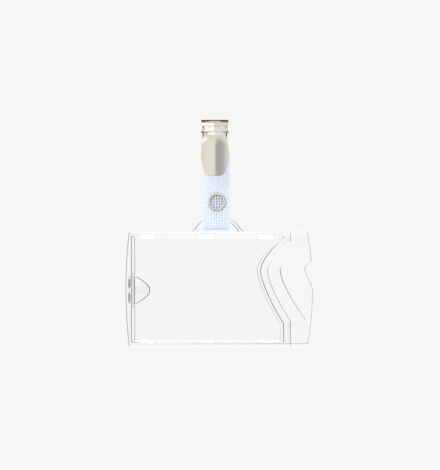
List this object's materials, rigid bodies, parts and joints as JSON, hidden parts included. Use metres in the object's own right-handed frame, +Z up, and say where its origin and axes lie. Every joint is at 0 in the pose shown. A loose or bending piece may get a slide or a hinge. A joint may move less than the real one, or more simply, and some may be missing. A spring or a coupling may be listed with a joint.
{
  "type": "rigid card holder with strap clip",
  "caption": "Rigid clear card holder with a curved front edge, hung by a D-loop on a clear snap strap below a sprung thumb-lever clip.",
  "frame": {"origin": "middle of the clip's closed mouth, at the top edge of its front jaw", "axes": "+Z up as it hangs, +X to the right seen from the front, front faces -Y"},
  "size_m": [0.094, 0.0141, 0.1141],
  "materials": {
    "nickel": "bright nickel plate",
    "spring_steel": "bright wire",
    "vinyl": "soft clear vinyl with a woven mesh inside",
    "clear_plastic": "clear, polished"
  },
  "bodies": {
    "clip": {"clip_rear_plate": "nickel", "clip_pivot_pin": "nickel", "clip_spring": "spring_steel", "strap_rivet": "nickel", "strap_washer": "nickel"},
    "lever": {"clip_lever": "nickel"},
    "strap_top": {"strap_tab": "vinyl"},
    "strap": {"strap_rear": "vinyl", "snap_stud": "nickel", "snap_rear_ring": "nickel"},
    "flap": {"strap_flap": "vinyl", "snap_front_ring": "nickel", "snap_socket": "nickel", "snap_spring": "spring_steel"},
    "holder": {"holder_back_shell": "clear_plastic", "holder_front_cover": "clear_plastic"},
    "finger": {"card_finger": "clear_plastic"}
  },
  "joints": [
    {"name": "lever_pivot", "type": "hinge", "parent": "clip", "child": "lever", "pos_m": [0, -0.002, -0.0044], "axis": [1, 0, 0], "range_deg": [0, 24], "stiffness_Nm_per_rad": 0.15, "springref_deg": -20.05, "deforming": ["clip_spring"]},
    {"name": "strap_swivel", "type": "hinge", "parent": "clip", "child": "strap_top", "pos_m": [0.001, -0.0003, -0.0192], "axis": [0, 1, 0], "range_deg": [-35, 35]},
    {"name": "strap_bend", "type": "hinge", "parent": "strap_top", "child": "strap", "pos_m": [0.001, -0.0003, -0.0305], "axis": [1, 0, 0], "range_deg": [-40, 60], "stiffness_Nm_per_rad": 0.02},
    {"name": "flap_open", "type": "hinge", "parent": "strap", "child": "flap", "pos_m": [0.001, -0.0052, -0.05115], "axis": [1, 0, 0], "range_deg": [0, 110], "stiffness_Nm_per_rad": 0.005, "springref_deg": -11.46},
    {"name": "holder_swing", "type": "hinge", "parent": "strap", "child": "holder", "pos_m": [0.0015, -0.0026, -0.04865], "axis": [1, 0, 0], "range_deg": [-30, 30]},
    {"name": "finger_flex", "type": "hinge", "parent": "holder", "child": "finger", "pos_m": [-0.041, -0.003, -0.0841], "axis": [0, 0, 1], "range_deg": [0, 4], "stiffness_Nm_per_rad": 0.02}
  ]
}
